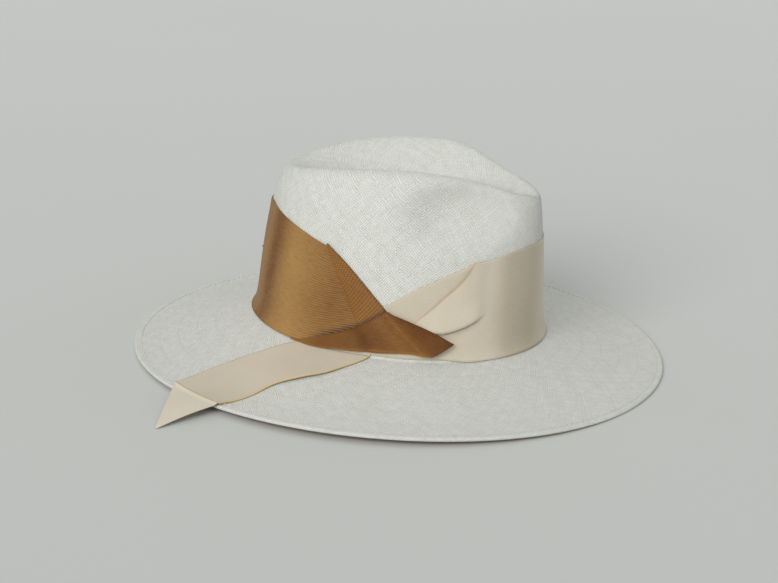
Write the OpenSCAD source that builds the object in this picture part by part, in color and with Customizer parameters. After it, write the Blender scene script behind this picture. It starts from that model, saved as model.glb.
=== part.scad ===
// Wide-brimmed panama hat with a teardrop crown, a front pinch and two crossed ribbons.
// Millimetres. +Z is up, the front of the hat looks along -Y and the wearer's right is -X.
// The origin is the middle of the head opening, level with the line where crown meets brim.
// Angles go round the hat from the front towards the wearer's right.

/* [Head fit] */
// Length of the head opening inside the sweatband
head_length = 196; // [184:1:208]
// Width of the head opening inside the sweatband
head_width = 164; // [154:1:174]

/* [Straw] */
// Thickness of the woven straw
straw_t = 1.4; // [1.0:0.1:1.8]
// Thickness of the turned-under hem at the brim edge
hem_t = 2.6; // [2.2:0.1:3.2]
// Width of the turned-under hem
hem_width = 6; // [4:0.5:8]

/* [Crown] */
// Height of the crown at its highest point
crown_height = 118.5; // [105:0.5:128]
// How far the top falls from the highest point to the front tip
front_drop = 20; // [12:1:26]
// How far the top falls from the highest point to the back
rear_drop = 14.5; // [6:0.5:20]
// Distance of the highest point ahead of the middle
peak_forward = 22; // [10:1:34]
// Half the width of the teardrop ridge
ridge_half_width = 43; // [36:1:48]
// Front end of the ridge, ahead of the middle
ridge_front = 95.5; // [90:0.5:97]
// Back end of the ridge, behind the middle
ridge_back = 77.5; // [72:0.5:84]
// Depth of the bowl inside the ridge
bowl_depth = 26; // [14:1:32]
// Depth of the two finger pinches at the front
pinch_depth = 15.5; // [8:0.5:18]

/* [Brim] */
// Overall length of the brim
brim_length = 373; // [340:1:390]
// Overall width of the brim
brim_width = 344; // [310:1:360]
// Height of the head opening above the surface that the brim rests on
brim_drop = 26; // [18:1:34]
// How far the sides of the brim lift off that surface
side_lift = 4; // [2:0.5:8]

/* [Ribbons] */
// Thickness of the grosgrain ribbon as it lies on the hat
ribbon_t = 0.7; // [0.5:0.1:0.9]
// Height of the brown ribbon's upper edge at the back
brown_top = 80; // [74:1:84]
// Height of the cream ribbon's upper edge at the front
cream_top = 71.5; // [66:0.5:74]
// How far the cream ribbon's cut end reaches past the brim
end_reach = 48.5; // [36:0.5:58]

/* [Sweatband] */
// Height of the sweatband inside the crown
band_height = 32; // [26:1:38]
// Thickness of the sweatband
band_t = 1.2; // [1.0:0.1:1.4]

/* [Hidden] */

fit_gap = 0.2;
base_l = head_length / 2 + band_t + fit_gap + straw_t;
base_w = head_width / 2 + band_t + fit_gap + straw_t;
flare = 2.5;
flare_height = 4;
base_dip = 3;
ridge_mid = (ridge_front - ridge_back) / 2;
ridge_half_length = (ridge_front + ridge_back) / 2;
ridge_taper = 0.35;
ridge_peak = acos(-ridge_taper / (2 + ridge_taper));
shoulder = 2.7;
wall_lean = 0.35;
pinch_forward = 52;
pinch_height = 0.79 * crown_height;
pinch_fore = 32;
pinch_aft = 29;
pinch_down = 19;
pinch_up = 19;
bowl_roll = 1.5;
rest_z = -brim_drop;
flat_zone = 0.12;
brim_curve = 1.5;
hem_share = hem_width / ((brim_length - brim_width) / 2 + 70);
turns = 64;
bowl_rows = 7;
wall_rows = 16;
brim_rows = 8;
thread_r = 0.3;
foot_spread = 1.6;
foot_height = 6;
straw_colour = [0.93, 0.92, 0.86];
brown_colour = [0.55, 0.36, 0.16];
cream_colour = [0.86, 0.80, 0.68];

// ---------- shape of the straw ----------

function unit(v) = v / norm(v);
function oval(half_l, half_w, t) = [-half_w * sin(t), -half_l * cos(t), 0];
function oval_out(t) = unit([-base_l * sin(t), -base_w * cos(t), 0]);

// Teardrop: an oval whose width shrinks towards the front tip.
function drop_width(t) = sin(t) * pow(abs(sin(t / 2)), ridge_taper);
function ridge_side(t) = ridge_half_width * drop_width(t) / drop_width(ridge_peak);
function ridge_ahead(t) = ridge_mid + ridge_half_length * cos(t);

// Height of the ridge, which falls away in front of and behind the highest point.
function ridge_top(t) =
    let (d = ridge_ahead(t) - peak_forward)
    d > 0
    ? crown_height - front_drop * pow(d / (ridge_front - peak_forward), 1.4)
    : crown_height - rear_drop * pow(-d / (ridge_back + peak_forward), 2);

function base_z(t) = -base_dip * cos(t);

// The two pinches push the sides of the crown in near the front: round, fairly steep hollows.
function pinched(p) =
    let (ahead = -p.y - pinch_forward,
         up = p.z - pinch_height,
         far = norm([ahead / (ahead > 0 ? pinch_fore : pinch_aft),
                     up / (up > 0 ? pinch_up : pinch_down)]),
         side = max(0, min(1, (abs(p.x) - 5) / 25)))
    [p.x - sign(p.x) * pinch_depth * side * exp(-pow(far, 3)), p.y, p.z];

// Share of the way from the base oval in to the ridge, at a share h of the height.
function inset(h) =
    wall_lean * h + (1 - wall_lean) * (1 - pow(max(0, 1 - pow(h, shoulder)), 1 / shoulder));

function plain_wall(t, h) =
    let (k = inset(h),
         z = base_z(t) * (1 - h) + ridge_top(t) * h,
         ridge = [-ridge_side(t), -ridge_ahead(t), 0],
         out = flare * exp(-(z - base_z(t)) / flare_height))
    oval(base_l, base_w, t) * (1 - k) + ridge * k + oval_out(t) * out + [0, 0, z];

function wall(t, h) = pinched(plain_wall(t, h));

// The bowl sinks smoothly from the ridge, k = 1, to its middle, k = 0.
function bowl(t, k) =
    let (low = crown_height - bowl_depth,
         rise = 1 - pow(1 - k * k, bowl_roll))
    pinched([-ridge_side(t) * k,
             -(ridge_mid + (ridge_ahead(t) - ridge_mid) * k),
             low + (ridge_top(t) - low) * rise]);

// Underside of the brim edge: flat at the front and back, lifted at the sides.
function edge_z(t) =
    rest_z + side_lift * max(0, (pow(sin(t), 2) - flat_zone) / (1 - flat_zone));

// Upper face of the brim, r = 0 at the crown and r = 1 at the edge.
function brim(t, r) =
    let (start = plain_wall(t, 0),
         edge = oval(brim_length / 2, brim_width / 2, t),
         fall = 1 - pow(max(0, 1 - r), brim_curve),
         z = start.z + (edge_z(t) + hem_t - start.z) * fall)
    [start.x + (edge.x - start.x) * r, start.y + (edge.y - start.y) * r, z];

// One run from the middle of the bowl over the ridge, down the wall and out along the brim.
function skin(t, s) =
    s < 1 ? bowl(t, max(0, s))
    : s < 2 ? wall(t, (1 + cos(180 * (s - 1))) / 2)
    : brim(t, s - 2);

function skin_out(t, s) =
    let (e = 0.01)
    unit(cross(skin(t + 1, s) - skin(t - 1, s), skin(t, s + e) - skin(t, s - e)));

function under(t, s) = skin(t, s) - straw_t * skin_out(t, s);
function turn(i) = let (a = 360 * i / turns) a - 20 * sin(a);

// ---------- closed solids from grids of points ----------

// Faces of a closed skin that runs round the Z axis, with a pole point at each end.
function ring_faces(n, m) = [
    for (i = [0 : n - 1], j = [0 : m - 2])
        let (a = i * m + j, b = ((i + 1) % n) * m + j)
        each [[a, a + 1, b + 1], [a, b + 1, b]],
    for (i = [0 : n - 1])
        let (a = i * m, b = ((i + 1) % n) * m)
        each [[n * m, a, b], [n * m + 1, b + m - 1, a + m - 1]]];

// Faces of a sheet whose two sides are n by m grids, one after the other.
function sheet_faces(n, m) =
    let (back = n * m)
    [for (i = [0 : n - 2], j = [0 : m - 2])
         let (a = i * m + j, b = a + m)
         each [[a, a + 1, b + 1], [a, b + 1, b],
               [back + a, back + b + 1, back + a + 1], [back + a, back + b, back + b + 1]],
     for (i = [0 : n - 2], j = [0, m - 1])
         let (a = i * m + j, b = a + m, flip = j == 0)
         each flip ? [[a, b, back + b], [a, back + b, back + a]]
                   : [[a, back + b, b], [a, back + a, back + b]],
     for (j = [0 : m - 2], i = [0, n - 1])
         let (a = i * m + j, b = a + 1, flip = i == 0)
         each flip ? [[a, back + b, b], [a, back + a, back + b]]
                   : [[a, b, back + b], [a, back + b, back + a]]];

// A sheet from its outer grid and its inner grid, both as lists of rows.
module sheet(outer, inner) {
    n = len(outer);
    m = len(outer[0]);
    polyhedron([for (g = [outer, inner], row = g, p = row) p], sheet_faces(n, m), convexity = 6);
}

// A strip of cloth on the crown wall between two angles. The functions low and high give the
// heights of its edges, and lift is the clearance between the straw and the cloth.
module wall_cloth(from, to, low, high, lift, thick, steps = 24, rows = 8) {
    function at(t, z, off) =
        let (h = z / (ridge_top(t) - base_z(t)),
             spread = foot_spread * exp(-z / foot_height))
        plain_wall(t, h) + oval_out(t) * (off + (lift > 0 ? spread : 0));
    function grid(off) =
        [for (i = [0 : steps])
            let (t = from + (to - from) * i / steps)
            [for (j = [0 : rows]) at(t, high(t) + (low(t) - high(t)) * j / rows, off)]];
    sheet(grid(lift + thick), grid(lift));
}

// A thread ring that follows a closed path of points with a given section radius.
module thread_ring(path, r) {
    n = len(path);
    sides = 6;
    points = [for (i = [0 : n - 1])
        let (out = unit([path[i].x, path[i].y, 0]))
        for (k = [0 : sides - 1])
            path[i] + r * (out * cos(360 * k / sides) + [0, 0, 1] * sin(360 * k / sides))];
    faces = [for (i = [0 : n - 1], k = [0 : sides - 1])
        let (a = i * sides, b = ((i + 1) % n) * sides, c = (k + 1) % sides)
        each [[a + k, a + c, b + c], [a + k, b + c, b + k]]];
    polyhedron(points, faces, convexity = 4);
}

// ---------- the parts ----------

// Crown and brim: one piece of woven straw, with its edge turned under as a hem.
module straw_body() {
    in_share = 1 - hem_share;
    up_rows = [for (k = [1 : bowl_rows]) k / bowl_rows,
               for (k = [1 : wall_rows]) 1 + k / wall_rows,
               for (k = [1 : brim_rows]) 2 + k / brim_rows];
    down_rows = [for (k = [brim_rows - 1 : -1 : 1]) 2 + in_share * k / brim_rows,
                 for (k = [wall_rows : -1 : 1]) 1 + k / wall_rows,
                 for (k = [bowl_rows : -1 : 1]) k / bowl_rows];
    function hem(t, r) = let (p = brim(t, r)) [p.x, p.y, edge_z(t)];
    function rows(t) = concat([for (s = up_rows) skin(t, s)],
                              [hem(t, 1), hem(t, in_share), under(t, 2 + in_share - 0.002)],
                              [for (s = down_rows) under(t, s)]);
    grid = [for (i = [0 : turns - 1]) rows(turn(i))];
    top = bowl(0, 0);
    points = concat([for (g = grid) each g], [top, top - [0, 0, straw_t]]);
    color(straw_colour)
        polyhedron(points, ring_faces(turns, len(grid[0])), convexity = 8);
}

// Row of stitches that holds the hem, laid along the upper face of the brim.
module brim_hem_stitching() {
    inset_r = 1 - 0.8 * hem_share;
    color([0.88, 0.86, 0.79])
        thread_ring([for (i = [0 : turns - 1])
            brim(turn(i), inset_r) + [0, 0, 2.8 * thread_r]], thread_r);
}

// Woven inner band that lies against the inside of the crown.
module sweatband() {
    steps = 64;
    rows = 6;
    foot = 0.8;
    function at(t, z, off) =
        let (h = (z + foot) / (ridge_top(t) - base_z(t)))
        plain_wall(t, h) - oval_out(t) * (straw_t + fit_gap + off
            + flare * exp(-(z + foot) / flare_height) + 0.012 * z);
    function face(off, order) =
        [for (i = [0 : steps - 1])
            [for (j = order) at(360 * i / steps, band_height * j / rows, off)]];
    outer = face(0, [rows : -1 : 0]);
    inner = face(band_t, [0 : rows]);
    m = 2 * (rows + 1);
    loops = [for (i = [0 : steps - 1]) each concat(outer[i], inner[i])];
    faces = [for (i = [0 : steps - 1], j = [0 : m - 1])
        let (a = i * m, b = ((i + 1) % steps) * m, c = (j + 1) % m)
        each [[a + j, a + c, b + c], [a + j, b + c, b + j]]];
    color([0.90, 0.88, 0.82]) polyhedron(loops, faces, convexity = 6);
}

// Thread that sews the foot of the sweatband to the straw.
module sweatband_stitching() {
    depth = straw_t + fit_gap + band_t + 1.6 * thread_r;
    height = 3;
    color([0.84, 0.81, 0.72])
        thread_ring([for (i = [0 : 71])
            let (t = 360 * i / 72,
                 h = (height + 0.8) / (ridge_top(t) - base_z(t)))
            plain_wall(t, h) - oval_out(t)
                * (depth + flare * exp(-(height + 0.8) / flare_height) + 0.012 * height)],
            thread_r);
}

// Small bow that covers the join of the sweatband at the back.
module sweatband_bow() {
    loop_l = 11;
    loop_w = 5;
    tape = 0.6;
    tape_h = 5;
    bow_z = 10;
    back = base_l - straw_t - fit_gap - band_t - 4.6;
    module loop(side) {
        translate([side * (loop_l / 2 + 1.6), 0, 0])
            linear_extrude(tape_h) difference() {
                scale([loop_l / loop_w, 1]) circle(d = loop_w, $fn = 32);
                scale([(loop_l - 2 * tape) / (loop_w - 2 * tape), 1])
                    circle(d = loop_w - 2 * tape, $fn = 32);
            }
    }
    color(cream_colour) translate([0, back, bow_z]) {
        loop(-1);
        loop(1);
        translate([-1.8, -1.8, -0.4]) cube([3.6, 3.6, tape_h + 0.8]);
    }
}

// Blank woven tab on the sweatband.
module size_tab() {
    depth = straw_t + fit_gap + band_t + 0.9;
    color([0.95, 0.94, 0.90])
        wall_cloth(262, 274, function (t) 8, function (t) 22, -depth, 0.4, 4, 3);
}

// Brown ribbon round the back of the crown. Its front fold runs down a slope on the wearer's right.
root_t = 84;
root_gap = 0.6;
brown_lift = 1.5;
function brown_high(t) =
    lookup(t, [[55.5, 13.8], [63, 20], [72, 26], [82, 32], [91, 45.5], [100, 58], [110, brown_top - 11],
               [120, brown_top - 7], [132, brown_top - 4], [149, brown_top],
               [168, brown_top - 3]]);
function brown_low(t) =
    lookup(t, [[55.5, 12.8], [63.5, 5.2], [75.5, 5.5], [87, 4.5], [101.5, 2.5], [116, 0.4]]);
module brown_ribbon_band() {
    color(brown_colour)
        wall_cloth(root_t + root_gap, 238, function (t) brown_low(t), function (t) brown_high(t),
                   brown_lift, ribbon_t, 44, 8);
}

// Free, slanting end of the brown ribbon, which lies over the cream one.
module brown_ribbon_end() {
    color(brown_colour)
        wall_cloth(55.5, root_t - root_gap, function (t) brown_low(t), function (t) brown_high(t),
                   brown_lift, ribbon_t, 16, 5);
}

// Cream ribbon round the front of the crown, passing under the brown one.
cream_lift = 0.3;
function cream_high(t) =
    cream_top - lookup(t, [[34, 0], [41, 1.5], [46, 2.5], [49, 4.7], [54, 9.5], [63, 15.7], [72, 23.5],
                           [81.5, 34], [98, 51]]);
module cream_ribbon_band() {
    color(cream_colour)
        wall_cloth(-130, 97, function (t) 0.4, function (t) cream_high(t), cream_lift, ribbon_t,
                   52, 8);
}

// The cream ribbon's crease just inside the brim edge: first its end nearer the back of the hat.
crease_back = 129.8;
crease_fore = 113.8;
crease_back_r = 0.945;
crease_fore_r = 0.985;
tail_lift = 1.4;
crease_gap = 1.1;
function crease_end(t, r) = brim(t, r) + [0, 0, tail_lift + ribbon_t / 2];
crease_a = crease_end(crease_back, crease_back_r);
crease_b = crease_end(crease_fore, crease_fore_r);
crease_along = unit(crease_b - crease_a);
crease_out = unit([crease_b.y - crease_a.y, crease_a.x - crease_b.x, 0]);

// Cream ribbon where it lies on the brim, from under the knot out to the crease.
module cream_ribbon_tail() {
    steps = 14;
    rows = 6;
    start = 0.07;
    root_back = 118;
    root_fore = 89;
    function at(k, q, off) =
        let (fan = pow(k, 0.55),
             back = root_back + (crease_back - root_back) * fan,
             fore = root_fore + (crease_fore - root_fore) * fan,
             end = crease_back_r + (crease_fore_r - crease_back_r) * q - 0.02,
             p = brim(back + (fore - back) * q, start + (end - start) * k))
        [p.x, p.y, p.z + off];
    function last(q, off) =
        crease_a * (1 - q) + crease_b * q - crease_out * crease_gap + [0, 0, off];
    function grid(off, end_off) =
        [for (i = [0 : rows])
            let (q = 1 - i / rows)
            [for (j = [0 : steps - 1]) at(j / steps, q, off), last(q, end_off)]];
    color(cream_colour)
        sheet(grid(tail_lift + ribbon_t, ribbon_t / 2), grid(tail_lift, -ribbon_t / 2));
}

// Cut end of the cream ribbon: a slanting flap that reaches over the brim edge to the table.
module cream_ribbon_end() {
    steps = 8;
    rows = 5;
    tip_shift = 0.455;
    tip_width = 1.2;
    table_gap = 0.4;
    middle = (crease_a + crease_b) / 2;
    tip = middle + crease_out * end_reach + crease_along * norm(crease_b - crease_a) * tip_shift;
    tip_z = rest_z + table_gap + ribbon_t / 2;
    function at(q, k, off) =
        let (root = crease_a * (1 - q) + crease_b * q + crease_out * crease_gap,
             end = [tip.x, tip.y, tip_z] + crease_along * tip_width * q)
        root * (1 - k) + end * k + [0, 0, off];
    function grid(off) =
        [for (i = [0 : rows]) [for (j = [0 : steps]) at(1 - i / rows, j / steps, off)]];
    color(cream_colour) sheet(grid(ribbon_t / 2), grid(-ribbon_t / 2));
}

// Short stitches that tack the ribbons to the crown.
module ribbon_tack_stitches() {
    color([0.50, 0.33, 0.15])
        for (tack = [[166, 46], [90, 10], [90, 20], [90, 30], [234, 12], [234, 70]])
            wall_cloth(tack[0] - 0.8, tack[0] + 0.8, function (t) tack[1], function (t) tack[1] + 0.8,
                       brown_lift + ribbon_t + 0.2, 0.5, 2, 1);
}

straw_body();
brim_hem_stitching();
sweatband();
sweatband_stitching();
sweatband_bow();
size_tab();
brown_ribbon_band();
brown_ribbon_end();
cream_ribbon_band();
cream_ribbon_tail();
cream_ribbon_end();
ribbon_tack_stitches();
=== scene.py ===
import bmesh
import bpy
import numpy as np
from mathutils import Matrix, Vector


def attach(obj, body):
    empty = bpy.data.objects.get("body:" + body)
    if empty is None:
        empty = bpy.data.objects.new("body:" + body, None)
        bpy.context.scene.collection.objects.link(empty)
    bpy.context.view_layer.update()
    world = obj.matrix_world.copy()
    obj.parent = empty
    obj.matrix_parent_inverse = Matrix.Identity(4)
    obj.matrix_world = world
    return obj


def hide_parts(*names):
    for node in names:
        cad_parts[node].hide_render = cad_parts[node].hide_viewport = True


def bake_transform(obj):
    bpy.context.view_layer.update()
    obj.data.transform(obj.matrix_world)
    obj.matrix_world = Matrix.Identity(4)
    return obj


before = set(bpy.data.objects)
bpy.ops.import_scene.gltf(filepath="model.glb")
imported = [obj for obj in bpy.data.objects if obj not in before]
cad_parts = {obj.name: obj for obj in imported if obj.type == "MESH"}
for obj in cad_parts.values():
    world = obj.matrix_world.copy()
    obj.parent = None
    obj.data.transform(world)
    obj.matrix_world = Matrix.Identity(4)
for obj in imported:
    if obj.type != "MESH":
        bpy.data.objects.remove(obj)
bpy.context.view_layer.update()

# --------------------------------------------------------------------------
# Straw body: crown and brim woven in one piece from split palm straw, bleached nearly white,
# blocked wet over a teardrop form with a front pinch, and its edge turned under and pressed.
# --------------------------------------------------------------------------
FOOT_HALF_WIDTH, FOOT_HALF_LENGTH = 0.0848, 0.1008
FOOT_DIP = 0.003
FLARE, FLARE_HEIGHT = 0.0025, 0.004
RIDGE_HALF_WIDTH, RIDGE_FRONT, RIDGE_BACK = 0.043, 0.0955, 0.0775
RIDGE_TAPER = 0.35
RIDGE_MIDDLE = (RIDGE_FRONT - RIDGE_BACK) / 2
RIDGE_HALF_LENGTH = (RIDGE_FRONT + RIDGE_BACK) / 2
CROWN_TOP, FRONT_DROP, REAR_DROP, PEAK_FORWARD = 0.1185, 0.020, 0.0145, 0.022
BOWL_FLOOR, BOWL_ROLL = CROWN_TOP - 0.026, 1.5
SHOULDER, WALL_LEAN = 2.7, 0.35
PINCH_DEPTH, PINCH_FORWARD, PINCH_HEIGHT = 0.0155, 0.052, 0.79 * CROWN_TOP
PINCH_FORE, PINCH_AFT, PINCH_DOWN, PINCH_UP = 0.032, 0.029, 0.019, 0.019
BRIM_HALF_WIDTH, BRIM_HALF_LENGTH = 0.172, 0.1865
REST_Z, SIDE_LIFT, BRIM_CURVE = -0.026, 0.004, 1.5
STRAW_THICKNESS, HEM_THICKNESS, HEM_WIDTH = 0.0014, 0.0026, 0.006
STRAND, STRANDS_PER_RING, STRAND_DRIFT = 0.0017, 8, 1.1
BOWL_ROWS, WALL_ROWS, BRIM_ROWS, AROUND_STEPS = 33, 62, 44, 360


def outward(t):
    """Level unit vector out of the crown's foot, square to its oval; t is in degrees from the front."""
    a = np.radians(t)
    v = np.stack([-FOOT_HALF_LENGTH * np.sin(a), -FOOT_HALF_WIDTH * np.cos(a), 0 * a], -1)
    return v / np.linalg.norm(v, axis=-1, keepdims=True)


def foot_z(t):
    """Height of the line where crown meets brim: a cosine, lowest at the front."""
    return -FOOT_DIP * np.cos(np.radians(t))


def drop_width(t):
    """Width of a teardrop: a sine times a root of the half angle's sine, narrow at the front."""
    a = np.radians(t)
    return np.sin(a) * np.abs(np.sin(a / 2)) ** RIDGE_TAPER


def ridge(t):
    """Plan of the crown's ridge and its height, which falls from the peak to the front by a
    power of 1.4 and to the back by a square."""
    widest = np.degrees(np.arccos(-RIDGE_TAPER / (2 + RIDGE_TAPER)))
    side = RIDGE_HALF_WIDTH * drop_width(t) / drop_width(widest)
    ahead = RIDGE_MIDDLE + RIDGE_HALF_LENGTH * np.cos(np.radians(t))
    d = ahead - PEAK_FORWARD
    fore = FRONT_DROP * (np.maximum(d, 0) / (RIDGE_FRONT - PEAK_FORWARD)) ** 1.4
    aft = REAR_DROP * (np.maximum(-d, 0) / (RIDGE_BACK + PEAK_FORWARD)) ** 2
    return side, ahead, CROWN_TOP - fore - aft


def pinched(p):
    """Moves points of the crown inwards by two round dents, one each side of the front: the
    exponential of minus the cube of the distance, which has its own unit of length each way."""
    x, y, z = np.moveaxis(p, -1, 0)
    ahead, rise = -y - PINCH_FORWARD, z - PINCH_HEIGHT
    far = np.hypot(ahead / np.where(ahead > 0, PINCH_FORE, PINCH_AFT),
                   rise / np.where(rise > 0, PINCH_UP, PINCH_DOWN))
    bell = np.exp(-far ** 3)
    room = np.clip((np.abs(x) - 0.005) / 0.025, 0, 1)
    return np.stack([x - np.sign(x) * PINCH_DEPTH * room * bell, y, z], -1)


def plain_wall(t, h, off=0.0):
    """Crown's wall at share h of its height: the foot's oval drawn in to the ridge along a
    straight lean plus a superellipse shoulder, with a small flare at the foot."""
    a = np.radians(t)
    side, ahead, top = ridge(t)
    low = foot_z(t)
    k = WALL_LEAN * h + (1 - WALL_LEAN) * (1 - np.maximum(0, 1 - h ** SHOULDER) ** (1 / SHOULDER))
    x = -FOOT_HALF_WIDTH * np.sin(a) * (1 - k) - side * k
    y = -FOOT_HALF_LENGTH * np.cos(a) * (1 - k) - ahead * k
    z = low * (1 - h) + top * h
    out = FLARE * np.exp(-(z - low) / FLARE_HEIGHT) + off
    return np.stack([x, y, z], -1) + outward(t) * np.asarray(out)[..., None]


def on_wall(t, z, off=0.0):
    """Point on the crown's wall z above its foot line, moved outwards by off."""
    return plain_wall(t, z / (ridge(t)[2] - foot_z(t)), off)


def bowl(t, k):
    """Hollow inside the ridge: the ridge's plan scaled by k, and a rise from its floor of 1 less
    a power of 1 - k squared, which is flat in the middle and rounds over at the ridge."""
    side, ahead, top = ridge(t)
    z = BOWL_FLOOR + (top - BOWL_FLOOR) * (1 - (1 - k ** 2) ** BOWL_ROLL)
    return np.stack([-side * k, -RIDGE_MIDDLE - (ahead - RIDGE_MIDDLE) * k, z], -1)


def edge_z(t):
    """Height of the brim edge's underside: flat at front and back, lifted at the sides."""
    return REST_Z + SIDE_LIFT * np.maximum(0, (np.sin(np.radians(t)) ** 2 - 0.12) / 0.88)


def on_brim(t, r, off=0.0):
    """Top of the brim at share r from the crown's foot to the edge: a straight run in plan that
    falls steeply first and levels out by a power."""
    a = np.radians(t)
    start = plain_wall(t, 0 * a)
    end = np.stack([-BRIM_HALF_WIDTH * np.sin(a), -BRIM_HALF_LENGTH * np.cos(a), 0 * a], -1)
    p = start + (end - start) * np.asarray(r)[..., None]
    fall = 1 - np.maximum(0, 1 - r) ** BRIM_CURVE
    z = start[..., 2] + (edge_z(t) + HEM_THICKNESS - start[..., 2]) * fall + off
    return np.stack([p[..., 0], p[..., 1], z], -1)


def normals(grid, hint):
    """Unit normals of a grid of points: cross product of its two slopes, turned to hint's side."""
    n = np.cross(np.gradient(grid, axis=0), np.gradient(grid, axis=1))
    n /= np.maximum(np.linalg.norm(n, axis=-1, keepdims=True), 1e-12)
    return n if np.sum(n * hint) > 0 else -n


def make_piece(name, points, quads, uvs, materials, parts=None, marks=None):
    """Puts points, four-sided faces and a uv pair per face corner into a new object; points
    that coincide are merged, which closes seams and poles. marks are named values per point."""
    mesh = bpy.data.meshes.new(name)
    mesh.vertices.add(len(points))
    mesh.vertices.foreach_set("co", np.ascontiguousarray(points, np.float32).ravel())
    mesh.loops.add(quads.size)
    mesh.loops.foreach_set("vertex_index", quads.astype(np.int32).ravel())
    mesh.polygons.add(len(quads))
    mesh.polygons.foreach_set("loop_start", np.arange(0, quads.size, 4, dtype=np.int32))
    mesh.polygons.foreach_set("use_smooth", np.full(len(quads), True))
    if parts is not None:
        mesh.polygons.foreach_set("material_index", parts.astype(np.int32))
    for mark, values in (marks or {}).items():
        attribute = mesh.attributes.new(mark, "FLOAT", "POINT")
        attribute.data.foreach_set("value", np.ascontiguousarray(values, np.float32).ravel())
    layer = mesh.uv_layers.new(name="UVMap")
    layer.data.foreach_set("uv", np.ascontiguousarray(uvs, np.float32).ravel())
    mesh.update(calc_edges=True)
    mesh.validate()
    form = bmesh.new()
    form.from_mesh(mesh)
    bmesh.ops.remove_doubles(form, verts=form.verts, dist=2e-6)
    form.to_mesh(mesh)
    form.free()
    for material in materials:
        mesh.materials.append(material)
    piece = bpy.data.objects.new(name, mesh)
    bpy.context.scene.collection.objects.link(piece)
    return piece


def grid_quads(rows, cols):
    """Corner numbers of a grid's faces, each turned row first."""
    i, j = np.meshgrid(np.arange(rows - 1), np.arange(cols - 1), indexing="ij")
    a = (i * cols + j).ravel()
    return np.stack([a, a + cols, a + cols + 1, a + 1], -1)


def start_material(name, **sockets):
    """New material whose shader sockets are set to plain values."""
    material = bpy.data.materials.new(name)
    material.use_nodes = True
    shader = material.node_tree.nodes["Principled BSDF"]
    for socket, value in sockets.items():
        shader.inputs[socket.replace("_", " ")].default_value = value
    return material, material.node_tree, shader


def add_node(tree, kind, inputs=(), output=0, **settings):
    """Adds a node, fills its inputs in order or by name from sockets or values, gives one output."""
    made = tree.nodes.new(kind)
    for key, value in settings.items():
        setattr(made, key, value)
    pairs = inputs.items() if isinstance(inputs, dict) else enumerate(inputs)
    for key, value in pairs:
        if isinstance(value, bpy.types.NodeSocket):
            tree.links.new(value, made.inputs[key])
        else:
            made.inputs[key].default_value = value
    return made.outputs[output]


def sums(tree, operation, *values):
    """Math node: the named operation on one, two or three sockets or values."""
    return add_node(tree, "ShaderNodeMath", values, operation=operation)


def tint(tree, factor, first, second):
    """Colour on the straight line from first, at factor 0, to second, at factor 1."""
    return add_node(tree, "ShaderNodeMix", {0: factor, 6: first, 7: second}, output=2,
                    data_type="RGBA")


def bump(tree, shader, height, strength, distance):
    """Tilts the shader's normal by the slope of height, one unit of which is distance metres."""
    normal = add_node(tree, "ShaderNodeBump",
                      {"Strength": strength, "Distance": distance, "Height": height})
    tree.links.new(normal, shader.inputs["Normal"])


def between(tree, value, low, high, out_low=0.0, out_high=1.0):
    """Maps low..high to out_low..out_high along a straight line and holds both ends."""
    return add_node(tree, "ShaderNodeMapRange", (value, low, high, out_low, out_high))


def split_xyz(tree, vector):
    """The three parts of a vector, in order."""
    made = tree.nodes.new("ShaderNodeSeparateXYZ")
    tree.links.new(vector, made.inputs[0])
    return made.outputs[:3]


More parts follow.
